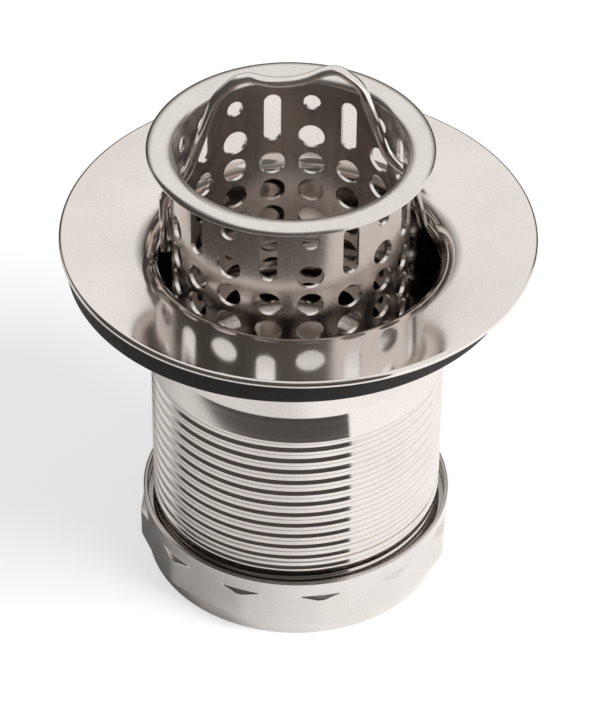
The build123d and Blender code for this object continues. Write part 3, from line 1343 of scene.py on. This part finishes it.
@dataclass
class Studio:
    """Pale floor, white surroundings, one soft lamp, dark glowing boards for painted reflections,
    and the camera.

    Where the photographer's boards stood isn't known. These are a guess, set so that the mirrored
    tones come near the photo's.
    """

    floor_reach: float = 1500.0
    floor_shade: str = "#bcbcbc"
    floor_glow: float = 0.61
    floor_mirror_glow: float = 0.33
    # Painted light and painted shadow of the table in mirrors: more glow to the right, none left of
    # the object's foot.
    floor_painted_light_right: float = 0.26
    floor_painted_light_span: Point = (-10.0, 25.0)
    floor_painted_shadow_span: Point = (-24.0, 10.0)
    floor_painted_shadow_reach: Point = (33.0, 46.0)
    sky_strength: float = 0.4
    board_reach: float = 118.0
    # Glowing boards that only mirrors see: painted reflections, dark, with brighter rises.
    boards: tuple[Board, ...] = (
        Board(
            name="left_back_board",
            start=-180.0,
            end=-112.0,
            foot=0.0,
            top=138.0,
            shade="#464340",
            rises=(
                Rise(low=88.0, high=138.0, gain=0.85),
                Rise(low=75.0, high=60.0, gain=0.8, none=-126.0, full=-112.0),
            ),
        ),
        Board(
            name="right_back_board",
            start=114.0,
            end=180.0,
            foot=55.0,
            top=138.0,
            shade="#464340",
            rises=(Rise(low=88.0, high=138.0, gain=0.85),),
        ),
        Board(
            name="front_board",
            start=-112.0,
            end=35.0,
            foot=0.0,
            top=300.0,
            shade="#4f4c49",
            rises=(
                Rise(low=70.0, high=105.0, gain=0.08, none=-60.0, full=30.0),
                Rise(low=180.0, high=290.0, gain=0.5),
                Rise(low=75.0, high=60.0, gain=0.8, none=-82.0, full=-96.0),
            ),
        ),
    )
    lamp_power: float = 4.4
    lamp_distance: float = 700.0
    lamp_width: float = 380.0
    lamp_azimuth: float = 62.0
    lamp_elevation: float = 50.0
    camera_target: tuple[float, float, float] = (1.235, 0.0, 39.549)
    camera_distance: float = 564.734
    camera_elevation: float = 39.692
    camera_roll: float = 0.72
    camera_lens: float = 176.82

    def build(self) -> None:
        """Builds the whole studio."""
        self.build_floor()
        for board in self.boards:
            board.build(self.board_reach)
        self.build_sky()
        self.build_lamp()
        self.build_camera()
        bpy.context.scene.view_settings.view_transform = "Standard"

    def build_floor(self) -> None:
        """White table that keeps the object's shadow, glows a little for the camera, and has painted
        light and shadow in mirrors.
        """
        half = self.floor_reach * MM
        corners = [(-half, -half, 0), (half, -half, 0), (half, half, 0), (-half, half, 0)]
        floor = mesh_object("floor", corners, [(0, 1, 2, 3)])
        material = new_material("white_table")
        tree = material.node_tree
        shade = {"Color": linear(self.floor_shade)}
        paint = add_node(tree, "ShaderNodeBsdfDiffuse", shade).outputs[0]
        path = add_node(tree, "ShaderNodeLightPath").outputs
        seen = arithmetic(tree, "MULTIPLY", path["Is Camera Ray"], self.floor_glow)
        mirrored = self.mirrored_glow_with_painted_shadow(tree)
        strength = arithmetic(tree, "MULTIPLY_ADD", path["Is Glossy Ray"], mirrored, seen)
        glow = add_node(tree, "ShaderNodeEmission", {"Strength": strength}).outputs[0]
        both = add_node(tree, "ShaderNodeAddShader", {0: paint, 1: glow}).outputs[0]
        add_node(tree, "ShaderNodeOutputMaterial", {"Surface": both})
        floor.data.materials.append(material)

    def mirrored_glow_with_painted_shadow(self, tree: Tree) -> Socket:
        """Glow of the table in mirrors: brighter to the right as painted light, and a painted shadow
        left of the object's foot.

        Args:
            tree: The floor material's node tree.

        Returns:
            The socket with the strength.
        """
        place = object_place(tree)
        sideways = split_axes(tree, place)["X"]

        def ramp(value: Socket, span: Point, low: float, high: float) -> Socket:
            """Soft way from low to high over a span in millimetres."""
            ends = (span[0] * MM, span[1] * MM)
            return mapped(tree, value, ends, (low, high), "SMOOTHSTEP")

        # Painted light to the right of the table, and a painted shadow left of the object's foot.
        right_glow = self.floor_mirror_glow + self.floor_painted_light_right
        beyond = ramp(sideways, self.floor_painted_light_span, self.floor_mirror_glow, right_glow)
        painted_shadow_at_foot = ramp(sideways, self.floor_painted_shadow_span, 0.0, right_glow)
        share = ramp(length_of(tree, place), self.floor_painted_shadow_reach, 0.0, 1.0)
        return add_node(
            tree, "ShaderNodeMix", {0: share, 2: painted_shadow_at_foot, 3: beyond}, data_type="FLOAT"
        ).outputs[0]

    def seen_by_eye_or_mirror(self, tree: Tree) -> Socket:
        """Socket that is 1 for camera, glossy and transmission rays, and 0 for the rest."""
        path = add_node(tree, "ShaderNodeLightPath").outputs
        mirrored = arithmetic(tree, "MAXIMUM", path["Is Glossy Ray"], path["Is Transmission Ray"])
        return arithmetic(tree, "MAXIMUM", path["Is Camera Ray"], mirrored)

    def build_sky(self) -> None:
        """White surroundings, a little weaker as a light than to the eye."""
        world = bpy.data.worlds.new("white_studio")
        world.use_nodes = True
        tree = world.node_tree
        tree.nodes.clear()
        plain = (1.0, 1.0, 1.0, 1.0)
        light = add_node(
            tree, "ShaderNodeBackground", {"Color": plain, "Strength": self.sky_strength}
        ).outputs[0]
        white = add_node(tree, "ShaderNodeBackground", {"Color": plain}).outputs[0]
        mixed = add_node(
            tree, "ShaderNodeMixShader", {0: self.seen_by_eye_or_mirror(tree), 1: light, 2: white}
        ).outputs[0]
        add_node(tree, "ShaderNodeOutputWorld", {"Surface": mixed})
        bpy.context.scene.world = world

    def build_lamp(self) -> None:
        """Large soft lamp to the right, which throws the object's shadow softly to the left."""
        lamp = bpy.data.lights.new("soft_lamp", "AREA")
        lamp.shape = "DISK"
        lamp.size = self.lamp_width * MM
        lamp.energy = self.lamp_power
        x, y = towards(self.lamp_azimuth)
        elevation = math.radians(self.lamp_elevation)
        level = math.cos(elevation)
        away = Vector((x * level, y * level, math.sin(elevation)))
        holder = linked("soft_lamp", lamp)
        holder.location = away * self.lamp_distance * MM
        holder.rotation_mode = "QUATERNION"
        holder.rotation_quaternion = away.to_track_quat("Z", "Y")
        holder.visible_glossy = False

    def build_camera(self) -> None:
        """Camera at the photograph's fitted place."""
        elevation = math.radians(self.camera_elevation)
        roll = math.radians(self.camera_roll)
        back = Vector((0.0, -math.cos(elevation), math.sin(elevation)))
        level_right = Vector((1.0, 0.0, 0.0))
        level_up = back.cross(level_right)
        right = level_right * math.cos(roll) + level_up * math.sin(roll)
        up = back.cross(right)
        place = (Vector(self.camera_target) + back * self.camera_distance) * MM
        camera = bpy.data.cameras.new("camera")
        camera.sensor_width = 36.0
        camera.lens = self.camera_lens
        camera.clip_start = 0.01
        camera.clip_end = 10.0
        holder = linked("camera", camera)
        axes = Matrix((right, up, back)).transposed().to_4x4()
        holder.matrix_world = Matrix.Translation(place) @ axes
        bpy.context.scene.camera = holder


def main() -> None:
    """Builds every sub-assembly in order, then the studio round them."""
    logging.basicConfig(level=logging.INFO, format="%(name)s: %(message)s")
    for assembly in (Waste(), CouplingNut(), Basket(), SpringHandle()):
        log.info("building %s", type(assembly).__name__)
        assembly.build()
    Studio().build()


if __name__ == "__main__":
    main()
